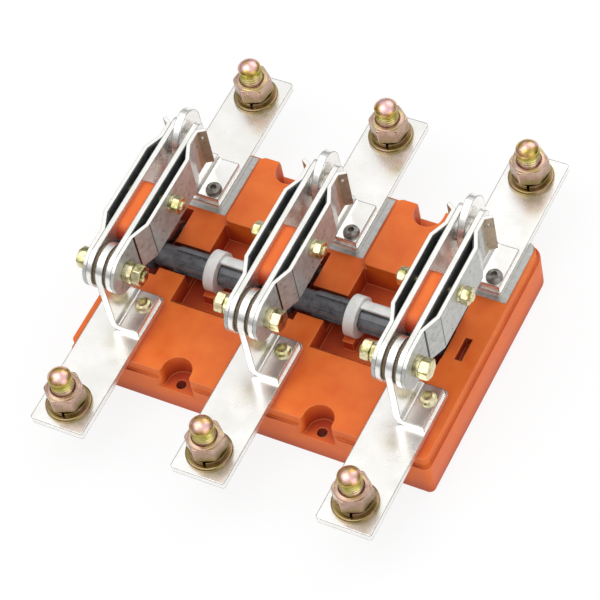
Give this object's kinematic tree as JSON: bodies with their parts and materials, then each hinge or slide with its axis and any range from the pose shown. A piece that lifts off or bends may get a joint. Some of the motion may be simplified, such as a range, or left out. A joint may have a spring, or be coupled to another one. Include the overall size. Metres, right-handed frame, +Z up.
{
  "type": "knife switch",
  "caption": "Open three-pole knife switch on a moulded base: twin plated blades swing from hinge brackets onto jaw plates, ganged by a shaft below.",
  "frame": {"origin": "middle of the base underside, midway between the ends of the terminal bars", "axes": "+X along the row of poles, +Y from the hinge end to the jaw end of the poles, +Z up from the base"},
  "size_m": [0.203, 0.2374, 0.0898],
  "materials": {
    "orange_moulding": "satin",
    "plated_copper": "polished",
    "plated_spring": "polished",
    "yellow_zinc": "polished",
    "white_nylon": "satin",
    "black_plastic": "satin",
    "steel": "satin"
  },
  "bodies": {
    "base": {"base_moulding": "orange_moulding", "seat_plates": "steel", "front_bar_1": "plated_copper", "front_bar_2": "plated_copper", "front_bar_3": "plated_copper", "back_bar_1": "plated_copper", "back_bar_2": "plated_copper", "back_bar_3": "plated_copper", "hinge_bracket_1": "plated_copper", "hinge_bracket_2": "plated_copper", "hinge_bracket_3": "plated_copper", "jaw_bracket_1": "plated_copper", "jaw_bracket_2": "plated_copper", "jaw_bracket_3": "plated_copper", "terminal_bolts": "yellow_zinc", "terminal_nuts": "yellow_zinc", "spring_washers": "yellow_zinc", "flat_washers": "yellow_zinc", "bar_screws": "yellow_zinc", "shaft_collars": "white_nylon"},
    "drive_shaft": {"shaft": "black_plastic", "cranks": "black_plastic"},
    "pole_1": {"blades_1": "plated_copper", "bow_springs_1": "plated_spring", "drive_block_1": "orange_moulding", "drive_pin_1": "steel", "blade_bolt_1": "yellow_zinc", "hinge_bolt_1": "yellow_zinc"},
    "link_1": {"drive_link_1": "steel"},
    "pole_2": {"blades_2": "plated_copper", "bow_springs_2": "plated_spring", "drive_block_2": "orange_moulding", "drive_pin_2": "steel", "blade_bolt_2": "yellow_zinc", "hinge_bolt_2": "yellow_zinc"},
    "link_2": {"drive_link_2": "steel"},
    "pole_3": {"blades_3": "plated_copper", "bow_springs_3": "plated_spring", "drive_block_3": "orange_moulding", "drive_pin_3": "steel", "blade_bolt_3": "yellow_zinc", "hinge_bolt_3": "yellow_zinc"},
    "link_3": {"drive_link_3": "steel"}
  },
  "joints": [
    {"name": "shaft_turn", "type": "hinge", "parent": "base", "child": "drive_shaft", "pos_m": [0, -0.0025, 0.026], "axis": [1, 0, 0], "range_deg": [0, 60]},
    {"name": "pole_1_swing", "type": "hinge", "parent": "base", "child": "pole_1", "pos_m": [-0.08, -0.044, 0.07], "axis": [1, 0, 0], "range_deg": [0, 60]},
    {"name": "link_1_turn", "type": "hinge", "parent": "pole_1", "child": "link_1", "pos_m": [-0.08, -0.024, 0.066], "axis": [1, 0, 0], "range_deg": [-60, 0]},
    {"name": "pole_2_swing", "type": "hinge", "parent": "base", "child": "pole_2", "pos_m": [0, -0.044, 0.07], "axis": [1, 0, 0], "range_deg": [0, 60]},
    {"name": "link_2_turn", "type": "hinge", "parent": "pole_2", "child": "link_2", "pos_m": [0, -0.024, 0.066], "axis": [1, 0, 0], "range_deg": [-60, 0]},
    {"name": "pole_3_swing", "type": "hinge", "parent": "base", "child": "pole_3", "pos_m": [0.08, -0.044, 0.07], "axis": [1, 0, 0], "range_deg": [0, 60]},
    {"name": "link_3_turn", "type": "hinge", "parent": "pole_3", "child": "link_3", "pos_m": [0.08, -0.024, 0.066], "axis": [1, 0, 0], "range_deg": [-60, 0]}
  ],
  "couplings": [
    {"joint": "pole_1_swing", "follows": "shaft_turn", "ratio": 1},
    {"joint": "link_1_turn", "follows": "shaft_turn", "ratio": -1},
    {"joint": "pole_2_swing", "follows": "shaft_turn", "ratio": 1},
    {"joint": "link_2_turn", "follows": "shaft_turn", "ratio": -1},
    {"joint": "pole_3_swing", "follows": "shaft_turn", "ratio": 1},
    {"joint": "link_3_turn", "follows": "shaft_turn", "ratio": -1}
  ]
}
